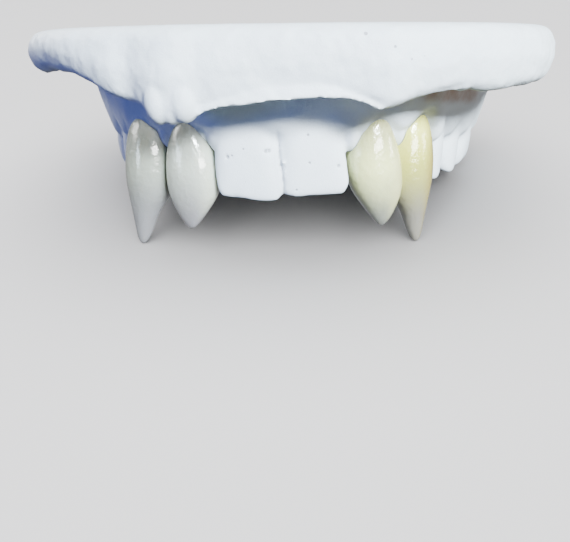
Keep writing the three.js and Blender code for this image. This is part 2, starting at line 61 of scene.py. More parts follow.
# The dental arch, as on the solids. Side -1 is the photograph's left, and 1 its right.
ARCH_HALF_WIDTH = 31 * MM
ARCH_DEPTH = 47 * MM
ARCH_SQUARENESS = {-1: 2.6, 1: 2.34}
ARCH_WAIST = 2 * MM
WAIST_START = 0.16
WAIST_END = 0.72
WAIST_SKEW = 0.55
ARCH_STEPS = 1500
CENTRAL_PLACE = 8.75 * MM
LATERAL_PLACE = 7.8 * MM
CANINE_PLACE = 8.2 * MM
PREMOLAR_PLACE = 6.9 * MM
FIRST_MOLAR_PLACE = 10.2 * MM
SECOND_MOLAR_PLACE = 9.4 * MM
PLACES = {
    "central": CENTRAL_PLACE,
    "lateral": LATERAL_PLACE,
    "canine": CANINE_PLACE,
    "first_premolar": PREMOLAR_PLACE,
    "second_premolar": PREMOLAR_PLACE,
    "first_molar": FIRST_MOLAR_PLACE,
    "second_molar": SECOND_MOLAR_PLACE,
}

# The camera, in the cast's own frame, at the photograph's viewing angle. Its angles are in degrees, and its
# lens and sensor in millimetres.
CAMERA_AT = (5.08 * MM, -84.87 * MM, 18 * MM)
CAMERA_PITCH = -18.04
CAMERA_YAW = -3.34
CAMERA_ROLL = -0.6
CAMERA_LENS = 42.6
CAMERA_SENSOR = 36
CAMERA_NEAR = 5 * MM
CAMERA_FAR = 20

# The caps: their top, how far they stand proud of the arch and how far they lean, each kind's drop below the
# biting plane and its (width, thickness), how close they sit on the plaster, and their outline.
CAP_TOP = 10.4 * MM
CAP_PROUD = 2 * MM
CAP_SWAY = 0.8 * MM
CAP_DROPS = {"lateral": 4.6 * MM, "canine": 7.6 * MM}
CAP_SIZES = {"lateral": (7.7 * MM, 7.2 * MM), "canine": (7.8 * MM, 8 * MM)}
CAP_SEAT = 0.1 * MM
CAP_SIDES = 24
CAP_SQUARENESS = 2.2

# Each cap, in shares of those: its top, its tip's drop, how far it stands proud, and how far its top and its
# tip lean away from the midline. The two on the right lean a little differently from their solids.
CAPS = {
    "left_lateral_fang": dict(
        side=-1, tooth="lateral", top=0.925, tip=1, proud=0.45, top_lean=0.9, tip_lean=0.6
    ),
    "left_canine_fang": dict(
        side=-1, tooth="canine", top=0.95, tip=1, proud=1, top_lean=0.1, tip_lean=1
    ),
    "right_lateral_fang": dict(
        side=1, tooth="lateral", top=0.97, tip=0.935, proud=0.45, top_lean=-0.05, tip_lean=1.45
    ),
    "right_canine_fang": dict(
        side=1, tooth="canine", top=1, tip=0.985, proud=0.3, top_lean=-0.75, tip_lean=-0.3
    ),
}

# Sections of the caps from the top to the tip: how far down each one is, its reaches towards the midline and
# away from it as shares of half the width, and the depths of its outer and inner faces as shares of the
# thickness.
CAP_SECTIONS = {
    "lateral": [
        dict(down=0.0, near=0.04, away=0.04, outer=0.19, inner=0.25),
        dict(down=0.015, near=0.22, away=0.22, outer=0.135, inner=0.31),
        dict(down=0.06, near=0.4, away=0.42, outer=0.095, inner=0.42),
        dict(down=0.13, near=0.58, away=0.6, outer=0.06, inner=0.58),
        dict(down=0.22, near=0.78, away=0.78, outer=0.033, inner=0.78),
        dict(down=0.33, near=0.94, away=0.93, outer=0.01, inner=0.95),
        dict(down=0.48, near=1.0, away=1.0, outer=0.0, inner=0.98),
        dict(down=0.62, near=0.96, away=0.97, outer=0.02, inner=0.88),
        dict(down=0.72, near=0.82, away=0.85, outer=0.045, inner=0.76),
        dict(down=0.81, near=0.62, away=0.66, outer=0.08, inner=0.64),
        dict(down=0.89, near=0.42, away=0.46, outer=0.12, inner=0.52),
        dict(down=0.95, near=0.26, away=0.29, outer=0.16, inner=0.43),
        dict(down=0.985, near=0.14, away=0.15, outer=0.2, inner=0.35),
        dict(down=1.0, near=0.05, away=0.05, outer=0.25, inner=0.29),
    ],
    "canine": [
        dict(down=0.0, near=0.04, away=0.04, outer=0.25, inner=0.31),
        dict(down=0.012, near=0.24, away=0.24, outer=0.185, inner=0.36),
        dict(down=0.05, near=0.44, away=0.46, outer=0.125, inner=0.47),
        dict(down=0.11, near=0.64, away=0.69, outer=0.08, inner=0.63),
        dict(down=0.19, near=0.8, away=0.88, outer=0.045, inner=0.85),
        dict(down=0.32, near=0.9, away=1.0, outer=0.012, inner=1.0),
        dict(down=0.47, near=0.9, away=0.98, outer=0.0, inner=0.95),
        dict(down=0.58, near=0.82, away=0.86, outer=0.025, inner=0.82),
        dict(down=0.66, near=0.66, away=0.68, outer=0.04, inner=0.65),
        dict(down=0.74, near=0.49, away=0.52, outer=0.055, inner=0.52),
        dict(down=0.82, near=0.38, away=0.4, outer=0.075, inner=0.44),
        dict(down=0.9, near=0.3, away=0.31, outer=0.09, inner=0.37),
        dict(down=0.96, near=0.2, away=0.21, outer=0.105, inner=0.3),
        dict(down=0.99, near=0.11, away=0.12, outer=0.135, inner=0.25),
        dict(down=1.0, near=0.04, away=0.04, outer=0.17, inner=0.2),
    ],
}

# Sections of the bare crowns from the neck to the biting edge. wide is a share of half the width, outer and
# inner are the depths of the faces as shares of the thickness, and cusp is a share of the cusps' height.
INCISOR_SECTIONS = [
    dict(down=-0.2, wide=0.62, outer=0.3, inner=0.85, cusp=0),
    dict(down=0.0, wide=0.77, outer=0.12, inner=1.0, cusp=0),
    dict(down=0.1, wide=0.835, outer=0.055, inner=1.0, cusp=0),
    dict(down=0.22, wide=0.9, outer=0.015, inner=0.96, cusp=0),
    dict(down=0.45, wide=0.97, outer=0.0, inner=0.75, cusp=0),
    dict(down=0.7, wide=1.0, outer=0.02, inner=0.49, cusp=0),
    dict(down=0.88, wide=0.995, outer=0.045, inner=0.34, cusp=0),
    dict(down=0.955, wide=0.965, outer=0.07, inner=0.29, cusp=0),
    dict(down=0.99, wide=0.9, outer=0.1, inner=0.25, cusp=0),
    dict(down=1.0, wide=0.82, outer=0.13, inner=0.22, cusp=0),
]
PREMOLAR_SECTIONS = [
    dict(down=-0.25, wide=0.64, outer=0.14, inner=0.84, cusp=0),
    dict(down=0.05, wide=0.8, outer=0.05, inner=0.95, cusp=0),
    dict(down=0.35, wide=0.96, outer=0.0, inner=1.0, cusp=0),
    dict(down=0.62, wide=1.0, outer=0.02, inner=0.98, cusp=0.1),
    dict(down=0.78, wide=0.87, outer=0.04, inner=0.92, cusp=0.7),
    dict(down=0.86, wide=0.6, outer=0.08, inner=0.86, cusp=1),
    dict(down=0.8, wide=0.34, outer=0.3, inner=0.68, cusp=0.5),
    dict(down=0.72, wide=0.14, outer=0.42, inner=0.58, cusp=0),
]
MOLAR_SECTIONS = [
    dict(down=-0.25, wide=0.76, outer=0.12, inner=0.86, cusp=0),
    dict(down=0.05, wide=0.88, outer=0.04, inner=0.95, cusp=0),
    dict(down=0.35, wide=0.97, outer=0.0, inner=1.0, cusp=0),
    dict(down=0.6, wide=1.0, outer=0.02, inner=0.98, cusp=0.1),
    dict(down=0.76, wide=0.91, outer=0.04, inner=0.93, cusp=0.6),
    dict(down=0.84, wide=0.72, outer=0.09, inner=0.87, cusp=1),
    dict(down=0.77, wide=0.42, outer=0.28, inner=0.71, cusp=0.5),
    dict(down=0.68, wide=0.16, outer=0.42, inner=0.58, cusp=0),
]

# The bare crowns: the gap to their neighbours, the height of their cusps, which is a little more than on the
# solid, how far the rear ones end above the biting plane, and how far the front ones' necks lean to the left.
CROWN_GAP = 0.1 * MM
CUSP_HEIGHT = 1.6 * MM
REAR_EDGE = 0.1 * MM
CENTRAL_NECK_LEAN = 1 * MM
CENTRAL = dict(
    high=11.6 * MM, thick=6.6 * MM, sides=48, square=3.2, cusps=0, edge=0, rows=INCISOR_SECTIONS
)
PREMOLAR = dict(
    high=8 * MM, thick=8.6 * MM, sides=24, square=2.5, cusps=2, edge=REAR_EDGE, rows=PREMOLAR_SECTIONS
)
MOLAR = dict(
    high=7.4 * MM, thick=10.6 * MM, sides=24, square=3, cusps=4, edge=REAR_EDGE, rows=MOLAR_SECTIONS
)
CROWNS = {
    "central": CENTRAL,
    "first_premolar": PREMOLAR,
    "second_premolar": PREMOLAR,
    "first_molar": MOLAR,
    "second_molar": MOLAR,
}

# The biting edges of the two bare incisors: how far the edge hangs below the biting plane in millimetres, by
# its place from the photograph's left corner of the tooth (0) to its right corner (1). The crown takes on
# that shape from the start, a share of its height, over the span.
EDGE_START = 0.7
EDGE_SPAN = 0.3
INCISOR_EDGES = {
    -1: [
        (0, -0.5), (0.06, -0.05), (0.2, 0.02), (0.26, -0.22), (0.31, 0),
        (0.5, 0.34), (0.75, 0.58), (0.9, 0.45), (1, -0.4),
    ],
    1: [
        (0, -0.45), (0.08, -0.2), (0.2, -0.08), (0.36, -0.22),
        (0.55, -0.25), (0.75, -0.35), (0.9, -0.6), (1, -1.2),
    ],
}

# The papillae, the wedges of gum between the necks of the teeth, at the front: their height above the biting
# plane, how deep they sit behind the arch, and their half sizes. The slim one is beside the right lateral.
PAPILLA_HEIGHT = 8.5 * MM
PAPILLA_DEPTH = 3.2 * MM
PAPILLA_RADII = (1.6 * MM, 2.7 * MM, 3.0 * MM)
SLIM_PAPILLA_RADII = (1.1 * MM, 2.3 * MM, 2.9 * MM)

# The lumps of the base's rim, in millimetres: where each one is, and its half width, depth and height. The
# first three make the two hanging lobes.
RIM_LUMPS = [
    ((-13.9, -5.6, 13.0), (1.8, 2.2, 3.05)),
    ((-10.9, -6.1, 13.15), (2.0, 2.2, 3.0)),
    ((-12.4, -5.6, 12.4), (2.0, 2.0, 2.45)),
    ((-15.6, -3.8, 14.0), (1.1, 1.5, 1.9)),
    ((-9.3, -5.9, 13.5), (1.7, 1.6, 1.3)),
    ((-17.6, -3.1, 14.6), (1.3, 1.6, 1.3)),
    ((-19.6, -2.3, 15.0), (1.2, 1.6, 1.2)),
    ((-21.6, -1.3, 15.5), (1.4, 1.6, 1.1)),
    ((-12.2, -6.9, 13.2), (0.3, 0.5, 0.3)),
    ((-13.4, -6.5, 11.1), (0.5, 0.6, 0.4)),
    ((8.9, -5.5, 13.8), (2.0, 1.5, 1.0)),
    ((11.5, -4.7, 13.1), (1.6, 1.6, 1.5)),
    ((13.9, -4.4, 13.8), (1.3, 1.6, 0.9)),
    ((16.2, -3.8, 14.1), (1.3, 1.6, 1.0)),
    ((18.8, -2.6, 14.4), (1.3, 1.6, 1.0)),
    ((21.2, -1.4, 14.3), (1.4, 1.6, 1.0)),
]

# The lower edge of the base's rim in millimetres, as (x, z) from left to right, the half width and depth of
# the oval that it follows, and the corners of its lip, as (back, up).
RIM_EDGE = [
    (-22, 14.9), (-20, 13.6), (-18.5, 12.7), (-15.7, 12.4), (-14.8, 11.5), (-13.9, 10.6),
    (-12.5, 10.3), (-10.2, 10.5), (-8.4, 11.6), (-6.3, 12.1), (-1, 12.7), (4.7, 13.1),
    (7.9, 12.9), (9.9, 12.3), (11.5, 11.6), (13.8, 12.6), (16.3, 13.1), (22, 13.7),
]
RIM_RADII = (36.5, 29.7)
RIM_LIP = [(0, 0), (3, 0.2), (3, 3), (0.9, 3)]

# The seam between the bare incisors on their faces, as (x, z) in millimetres from the gum to the edge. It
# fades in below the gum, and is only above its lowest height and in front of its back. Its painted shade,
# a darker grey along the groove, spreads wider.
SEAM = [(-0.72, 9.6), (-0.72, 7.7), (-0.6, 6.5), (-0.48, 5.0), (-0.22, 3.7), (-0.1, 2.4), (-0.02, 1.2)]
SEAM_LOWEST = -1
SEAM_FADE = 3.5
SEAM_BACK = 2.6 * MM
SEAM_DEPTH = 0.34 * MM
SEAM_REACH = 0.26 * MM
SEAM_SHADE = 0.4
SEAM_SHADE_SPREAD = 1.2

# The beads of plaster beside the seam, each with its radius, in millimetres.
BEADS = [
    ((-0.52, 0.0, 6.2), 0.14), ((-0.05, 0.0, 4.6), 0.15),
    ((0.1, -0.05, 3.4), 0.13), ((-0.1, 0.0, 2.9), 0.12),
]

# The pits in the incisors' faces as (x, z), each with its radius, in millimetres. Their depth, their spread
# and the spread of their darker colour, which is painted shade in the pits, are shares of the radius. The
# faces are looked for from a place in front.
PIT_DEPTH = 1.1
PIT_SPREAD = 1.6
PIT_SHADE = 1.5
IN_FRONT = -20
PITS = [
    ((-7.1, 5.3), 0.2), ((-6.5, 5.5), 0.12), ((-2.15, 6.05), 0.22), ((-1.75, 6.1), 0.2),
    ((7.05, 4.1), 0.2), ((3.35, 4.6), 0.14), ((1.7, 1.1), 0.13),
]

# Where the base is rough, in millimetres: it grows rough between two heights, loses most of that again just
# below the flat top, and is rough outside these shares of an oval.
ROUGH_START = (10.5, 13.5)
FLAT_START = (20.3, 20.9)
FLAT_LOSS = 0.9
ROUGH_RADII = (36.5, 29.5)
ROUGH_OUTSIDE = (0.72, 0.86)

# The layers of roughness: their size and height in millimetres, and where each one is. Their weights are
# rounded to steps.
RELIEF = [
    ("swells", 3.2, 0.35, "rim"),
    ("ripples", 1.1, 0.09, "rim"),
    ("crumbs", 0.5, 0.05, "rim"),
    ("grain", 0.9, 0.04, "all"),
]
WEIGHT_STEPS = 20

# The brown colour in the fold under the rim, on the right, in millimetres: where it goes from nothing to full
# behind the rim's front, forwards from the back, downwards, outwards, and upwards from a lower edge that
# falls towards the back.
FOLD_BROWN_BEHIND = (1, 2.5)
FOLD_BROWN_BACK = (25, 17)
FOLD_BROWN_ABOVE = (15.6, 14.8)
FOLD_BROWN_ACROSS = (16.6, 19)
FOLD_BROWN_BELOW = (11.6, 12.7)
FOLD_BROWN_FALL = 0.085

# How the plaster is merged, meshed and smoothed, and the angles in degrees over which edges stay sharp.
MERGE_REACH = 0.002 * MM
ROUGH_VOXEL = 0.45 * MM
FINE_VOXEL = 0.23 * MM
ROUGH_PASSES = 16
FINE_PASSES = 3
CAST_FACES = 190000
CAST_CREASE = 60
CAP_CREASE = 40

# The plaster's colours, of which the seam's and the holes' darker greys are painted shade and one is the
# brown in the fold under the rim, how steep the edges of its bubbles and spots are, how far its holes go in
# and the wheel's scratches stand out against the grain, and how far below the flat top they fade.
PLASTER_COLOURS = dict(
    dull=(0.73, 0.79, 0.85),
    pale=(0.78, 0.84, 0.89),
    dust=(0.81, 0.87, 0.92),
    seam_shade=(0.50, 0.49, 0.50),
    fold_brown_colour=(0.42, 0.29, 0.23),
    hole_shade=(0.42, 0.43, 0.47),
)
BUBBLE_STEEPNESS = 3
SPOT_STEEPNESS = 2
HOLE_RELIEF = -3
SCRATCH_RELIEF = 2
SCRATCH_FADE = 0.3 * MM

# The colours of each fang at its neck, in its body and at its tip, and a tint towards one edge, which starts
# and ends at these places across the cast, in millimetres. The four are one ivory acrylic painted lit and
# shaded: the left ones are greyer and darker, the necks are painted darker or lighter for the rim's shadow
# and the light, and the edge tint is a side painted lighter or darker for the light falling there. The grey
# tips are partly the acrylic's own see-through grey and partly painted shade. The bands wander up and down
# by a little.
BAND_WANDER = 1.2 * MM
FANG_COLOURS_WITH_PAINTED_LIGHT = {
    "left_lateral_fang": dict(
        neck=(0.20, 0.21, 0.19),
        body=(0.42, 0.45, 0.40),
        tip=(0.19, 0.185, 0.20),
        edge=(0.46, 0.49, 0.40),
        edge_from=-12,
        edge_to=-8.6,
    ),
    "left_canine_fang": dict(
        neck=(0.33, 0.35, 0.31),
        body=(0.29, 0.315, 0.265),
        tip=(0.18, 0.18, 0.19),
        edge=(0.36, 0.39, 0.28),
        edge_from=-17,
        edge_to=-14,
    ),
    "right_lateral_fang": dict(
        neck=(0.38, 0.38, 0.20),
        body=(0.68, 0.71, 0.34),
        tip=(0.145, 0.15, 0.135),
        edge=(0.50, 0.49, 0.25),
        edge_from=13,
        edge_to=16,
    ),
    "right_canine_fang": dict(
        neck=(0.66, 0.66, 0.17),
        body=(0.42, 0.42, 0.085),
        tip=(0.17, 0.16, 0.135),
        edge=(0.27, 0.21, 0.045),
        edge_from=18.2,
        edge_to=20.4,
    ),
}

# The table and the walls: how bright the walls look, how bright they are in reflections, and how much light
# they give.
TABLE_SIZE = 4
TABLE_COLOUR = (0.5, 0.5, 0.51)
TABLE_ROUGHNESS = 0.6
WALL_COLOUR = (0.9, 0.92, 0.95)
WALL_SEEN = 0.9
WALL_MIRRORED = 0.5
WALL_LIGHT = 0.02

# The soft boxes, aimed at the fangs: what each one lights, its bearing from straight ahead to the right and
# its rise in degrees, its distance and (width, height) in metres, its power in watts and its colour.
LAMPS_AIM = (0, -0.01, 0.01)
LAMPS = {
    "key": dict(
        on="pieces", bearing=32, rise=36, away=0.6, size=(0.2, 0.1), power=19.5, colour=(0.86, 0.95, 1)
    ),
    "side": dict(
        on="pieces", bearing=84, rise=5, away=0.5, size=(0.12, 0.07), power=0.6, colour=(1, 0.98, 0.95)
    ),
    "rear": dict(
        on="pieces", bearing=-128, rise=24, away=0.7, size=(0.4, 0.3), power=6, colour=(1, 0.99, 0.98)
    ),
    "sky": dict(
        on="cast", bearing=-52, rise=10, away=0.4, size=(0.1, 0.1), power=0.46, colour=(0.14, 0.23, 1)
    ),
    "glint": dict(
        on="caps", bearing=-58, rise=5, away=0.4, size=(0.12, 0.06), power=0.4, colour=(0.72, 0.86, 1)
    ),
    "sparkle": dict(
        on="caps", bearing=36, rise=14, away=0.45, size=(0.26, 0.06), power=2.8, colour=(1, 1, 1)
    ),
    "fill": dict(
        on="caps", bearing=-88, rise=22, away=0.6, size=(0.3, 0.3), power=2.6, colour=(1, 1, 0.97)
    ),
    "overhead": dict(on="table", bearing=0, rise=88, away=2, size=(4, 4), power=300, colour=(1, 1, 1)),
    "apron": dict(on="table", bearing=0, rise=30, away=0.9, size=(1, 0.4), power=9, colour=(1, 1, 1)),
}


def deselect():
    """Nothing is selected, in object mode."""
    if bpy.context.object and bpy.context.object.mode != "OBJECT":
        bpy.ops.object.mode_set(mode="OBJECT")
    bpy.ops.object.select_all(action="DESELECT")


def pick(obj):
    """Only this object is selected and active."""
    deselect()
    obj.select_set(True)
    bpy.context.view_layer.objects.active = obj


def apply_modifier(obj, name, kind, **settings):
    """Adds a modifier with its settings and applies it."""
    pick(obj)
    modifier = obj.modifiers.new(name, kind)
    for key, value in settings.items():
        setattr(modifier, key, value)
    bpy.ops.object.modifier_apply(modifier=modifier.name)


def edit_whole():
    """Edit mode, with the whole mesh selected."""
    bpy.ops.object.mode_set(mode="EDIT")
    bpy.ops.mesh.select_all(action="SELECT")


def end_facing_out():
    """Turns all faces outwards and ends edit mode."""
    bpy.ops.mesh.select_all(action="SELECT")
    bpy.ops.mesh.normals_make_consistent(inside=False)
    bpy.ops.object.mode_set(mode="OBJECT")


def place_in_mesh(obj, matrix):
    """Moves the mesh itself, so that the object stays at the origin."""
    obj.data.transform(matrix)
    obj.data.update()


def join(pieces, name):
    """One object out of several."""
    deselect()
    for piece in pieces:
        piece.select_set(True)
    bpy.context.view_layer.objects.active = pieces[0]
    bpy.ops.object.join()
    pieces[0].name = name
    return pieces[0]


def copy_of_node(node, name):
    """A copy of a node's solid with its loose triangles merged, in the cast's own frame."""
    copy = NODES[node].copy()
    copy.data = NODES[node].data.copy()
    copy.name = name
    copy.parent = None
    for key in list(copy.keys()):
        del copy[key]
    bpy.context.scene.collection.objects.link(copy)
    copy.data.materials.clear()
    place_in_mesh(copy, ROW_TO_CAST)
    pick(copy)
    edit_whole()
    bpy.ops.mesh.remove_doubles(threshold=MERGE_REACH)
    end_facing_out()
    return copy


def waist_at(depth):
    """How much of its waist the arch has at a share of its depth."""
    share = min(max((depth - WAIST_START) / (WAIST_END - WAIST_START), 0), 1)
    return ARCH_WAIST * math.sin(math.pi * share**WAIST_SKEW) ** 2


def arch_side(squareness):
    """The arch of one side as points with their distance from the midline."""
    points = []
    run = 0
    for i in range(ARCH_STEPS + 1):
        turn = math.pi / 2 * i / ARCH_STEPS
        y = ARCH_DEPTH * (1 - max(0, math.cos(turn)) ** (2 / squareness))
        x = ARCH_HALF_WIDTH * math.sin(turn) ** (2 / squareness) - waist_at(y / ARCH_DEPTH)
        at = Vector((x, y))
        if points:
            run += (at - points[-1][0]).length
        points.append((at, run))
    return points


ARCH = {side: arch_side(squareness) for side, squareness in ARCH_SQUARENESS.items()}


def tooth_run(tooth):
    """How far round the arch the middle of a tooth is from the midline."""
    run = 0
    for name, takes in PLACES.items():
        if name == tooth:
            return run + takes / 2
        run += takes
    raise ValueError(tooth)


def tooth_frame(side, tooth):
    """The matrix that puts a body drawn at the origin, with its face towards -y, in a tooth's place."""
    points = ARCH[side]
    run = tooth_run(tooth)
    high = next(i for i, (_, length) in enumerate(points) if length >= run)
    (before, run_before), (after, run_after) = points[high - 1], points[high]
    at = before.lerp(after, (run - run_before) / (run_after - run_before))
    ahead = (after - before).normalized()
    turn = math.atan2(side * ahead.y, ahead.x)
    return Matrix.Translation((side * at.x, at.y, 0)) @ Matrix.Rotation(turn, 4, "Z")


def draw_out(name, sides, squareness, rings):
    """A closed body drawn out of a flat outline, ring by ring, each (x, y, z, half width, half depth)."""
    deselect()
    x, y, z, wide, deep = rings[0]
    bpy.ops.mesh.primitive_circle_add(vertices=sides, radius=1 * MM, fill_type="NGON", location=(0, 0, 0))
    body = bpy.context.object
    body.name = name
    for vertex in body.data.vertices:
        turn = math.atan2(vertex.co.y, vertex.co.x)
        vertex.co.x = math.copysign(abs(math.cos(turn)) ** (2 / squareness), math.cos(turn)) * MM
        vertex.co.y = math.copysign(abs(math.sin(turn)) ** (2 / squareness), math.sin(turn)) * MM
    edit_whole()
    bpy.ops.transform.resize(value=(wide / MM, deep / MM, 1), center_override=(0, 0, 0))
    bpy.ops.transform.translate(value=(x, y, z))
    for ring in rings[1:]:
        step = (ring[0] - x, ring[1] - y, ring[2] - z)
        grow = (ring[3] / wide, ring[4] / deep, 1)
        x, y, z, wide, deep = ring
        bpy.ops.mesh.extrude_region_move(TRANSFORM_OT_translate={"value": step})
        bpy.ops.transform.resize(value=grow, center_override=(x, y, z))
    end_facing_out()
    return body


def eased(share):
    """A share from 0 to 1 that starts and ends gently."""
    share = min(max(share, 0), 1)
    return share * share * (3 - 2 * share)


def smooth_away(obj, repeat):
    """Smooths the facets of a remesh away, in so many passes."""
    apply_modifier(obj, "Smooth", "SMOOTH", factor=0.5, iterations=repeat)


def along(points, at):
    """The value of a polyline of (place, value) points at a place, eased from point to point."""
    if at <= points[0][0]:
        return points[0][1]
    for (start, low), (end, high) in zip(points, points[1:]):
        if at <= end:
            return low + (high - low) * eased((at - start) / (end - start))
    return points[-1][1]


def crown(side, tooth):
    """A crown of bare plaster, in its place in the arch."""
    form = CROWNS[tooth]
    width = PLACES[tooth] - CROWN_GAP
    central = tooth == "central"
    rings = []
    for row in form["rows"]:
        down = max(row["down"], 0)
        shift = -CENTRAL_NECK_LEAN * (1 - down) if central else 0
        outer, inner = form["thick"] * row["outer"], form["thick"] * row["inner"]
        rings.append(
            (
                shift,
                (outer + inner) / 2,
                form["edge"] + form["high"] * (1 - row["down"]),
                width / 2 * row["wide"],
                (inner - outer) / 2,
            )
        )
    body = draw_out(f"{tooth}_crown", form["sides"], form["square"], rings)
    for vertex in body.data.vertices:
        row = form["rows"][vertex.index // form["sides"]]
        middle = (form["thick"] * (row["outer"] + row["inner"])) / 2
        turn = math.atan2(-(vertex.co.y - middle), side * vertex.co.x)
        if form["cusps"]:
            first = math.pi / form["cusps"]
            peak = 0.5 + 0.5 * math.cos(form["cusps"] * (turn - first))
            vertex.co.z -= CUSP_HEIGHT * row["cusp"] * peak
        if central:
            place = vertex.co.x / width + 0.5
            near_edge = eased((row["down"] - EDGE_START) / EDGE_SPAN)
            vertex.co.z -= along(INCISOR_EDGES[side], place) * MM * near_edge
    apply_modifier(body, "Subdivision", "SUBSURF", levels=2, render_levels=2)
    place_in_mesh(body, tooth_frame(side, tooth))
    return body


def cap_body(name):
    """The outside of a fang cap, before it is hollowed."""
    cap = CAPS[name]
    side = cap["side"]
    width, thickness = CAP_SIZES[cap["tooth"]]
    top = CAP_TOP * cap["top"]
    tip = -CAP_DROPS[cap["tooth"]] * cap["tip"]
    rings = []
    for row in CAP_SECTIONS[cap["tooth"]]:
        lean = cap["top_lean"] + (cap["tip_lean"] - cap["top_lean"]) * eased(row["down"])
        near, away = width / 2 * row["near"], width / 2 * row["away"]
        outer, inner = thickness * row["outer"], thickness * row["inner"]
        rings.append(
            (
                side * (lean * CAP_SWAY + (away - near) / 2),
                (outer + inner) / 2 - cap["proud"] * CAP_PROUD,
                top + (tip - top) * row["down"],
                (near + away) / 2,
                (inner - outer) / 2,
            )
        )
    body = draw_out(name + "_cap", CAP_SIDES, CAP_SQUARENESS, rings)
    apply_modifier(body, "Subdivision", "SUBSURF", levels=3, render_levels=3)
    place_in_mesh(body, tooth_frame(side, cap["tooth"]))
    return body


def lump(at, radii, name="lump"):
    """A rounded lump of plaster. Its place and its half sizes are in millimetres."""
    deselect()
    bpy.ops.mesh.primitive_ico_sphere_add(subdivisions=4, radius=1 * MM, location=(0, 0, 0))
    body = bpy.context.object
    body.name = name
    edit_whole()
    bpy.ops.transform.resize(value=radii, center_override=(0, 0, 0))
    bpy.ops.transform.translate(value=Vector(at) * MM)
    bpy.ops.object.mode_set(mode="OBJECT")
    return body


def rim_lip():
    """The crisp lower edge of the rim, drawn along its front."""
    wide, deep = RIM_RADII
    path = [(x, BASE_MIDDLE / MM - deep * math.sqrt(1 - (x / wide) ** 2), z) for x, z in RIM_EDGE]
    deselect()
    bpy.ops.mesh.primitive_plane_add(size=1 * MM, location=(0, 0, 0))
    lip = bpy.context.object
    lip.name = "rim_lip"
    corners = [lip.data.vertices[i] for i in lip.data.polygons[0].vertices]
    for corner, (back, up) in zip(corners, RIM_LIP):
        x, y, z = path[0]
        corner.co = Vector((x, y + back, z + up)) * MM
    edit_whole()
    for before, after in zip(path, path[1:]):
        step = (Vector(after) - Vector(before)) * MM
        bpy.ops.mesh.extrude_region_move(TRANSFORM_OT_translate={"value": step})
    end_facing_out()
    return lip


def papilla(side, tooth):
    """The wedge of gum on the far side of a front tooth."""
    reach = PLACES[tooth] / 2
    at = Vector((side * reach, PAPILLA_DEPTH, PAPILLA_HEIGHT)) / MM
    slim = side > 0 and tooth == "lateral"
    body = lump(at, Vector(SLIM_PAPILLA_RADII if slim else PAPILLA_RADII) / MM, "papilla")
    place_in_mesh(body, tooth_frame(side, tooth))
    return body


def coordinates(obj):
    """The places of the mesh's points, a row each."""
    flat = np.empty(len(obj.data.vertices) * 3, np.float32)
    obj.data.vertices.foreach_get("co", flat)
    return flat.reshape(-1, 3).astype(float)


def move_points(obj, co):
    """Puts the mesh's points in these places."""
    obj.data.vertices.foreach_set("co", co.astype(np.float32).ravel())
    obj.data.update()


def weigh(obj, name, weights):
    """A vertex group with these weights, rounded to steps."""
    group = obj.vertex_groups.new(name=name)
    steps = np.clip(np.round(weights * WEIGHT_STEPS), 0, WEIGHT_STEPS).astype(int)
    for step in range(1, WEIGHT_STEPS + 1):
        chosen = np.nonzero(steps == step)[0].tolist()
        if chosen:
            group.add(chosen, step / WEIGHT_STEPS, "REPLACE")


def ramp(values, start, end):
    """Shares that rise gently from 0 at the start to 1 at the end, which may be the lower of the two."""
    share = np.clip((values - start) / (end - start), 0, 1)
    return share * share * (3 - 2 * share)


def roughen(obj, name, scale, height, group):
    """Uneven swells of a size over a vertex group."""
    pattern = bpy.data.textures.new(name, "CLOUDS")
    pattern.noise_scale = scale
    pattern.noise_depth = 2
    settings = dict(texture=pattern, texture_coords="LOCAL", strength=height, mid_level=0.5)
    apply_modifier(obj, name, "DISPLACE", vertex_group=group, **settings)


def seam_share(co, reach):
    """How near each point is to the seam between the bare incisors: 1 on it and 0 at its reach."""
    z = co[:, 2] / MM
    places, heights = zip(*reversed(SEAM))
    away = np.abs(co[:, 0] - np.interp(z, heights, places) * MM)
    front = (co[:, 1] < SEAM_BACK) & (z < SEAM[0][1]) & (z > SEAM_LOWEST)
    fade = ramp(z, SEAM[0][1], SEAM[0][1] - SEAM_FADE)
    return fade * np.clip(1 - (away / reach) ** 2, 0, 1) * front


def press_seam(obj):
    """Presses the seam between the bare incisors into their faces."""
    co = coordinates(obj)
    co[:, 1] += SEAM_DEPTH * seam_share(co, SEAM_REACH)
    move_points(obj, co)


def write_share(obj, name, share):
    """A share at each point, for the material to read."""
    attribute = obj.data.attributes.new(name, "FLOAT", "POINT")
    attribute.data.foreach_set("value", share.astype(np.float32))


def fold_brown_share(co):
    """How much brown colour the fold under the rim is given at each point. It lies on the right."""
    x, y, z = (co / MM).T
    wide, deep = RIM_RADII
    front = BASE_MIDDLE / MM - deep * np.sqrt(np.clip(1 - (x / wide) ** 2, 0, 1))
    fold = ramp(y - front, *FOLD_BROWN_BEHIND) * ramp(y, *FOLD_BROWN_BACK) * ramp(z, *FOLD_BROWN_ABOVE)
    return fold * ramp(x, *FOLD_BROWN_ACROSS) * ramp(z + FOLD_BROWN_FALL * y, *FOLD_BROWN_BELOW)


def on_face(obj, place):
    """The point of the front face at (x, z), in millimetres, both in the cast's own frame."""
    x, z = place
    _, at, _, _ = obj.ray_cast(Vector((x, IN_FRONT, z)) * MM, Vector((0, 1, 0)))
    return at / MM


def press_pit(obj, centre, radius):
    """Presses a pit into the front face."""
    co = coordinates(obj)
    away = np.linalg.norm(co - np.array(centre) * MM, axis=1) / (radius * MM)
    co[:, 1] += radius * MM * PIT_DEPTH * np.clip(1 - away / PIT_SPREAD, 0, 1)
    move_points(obj, co)


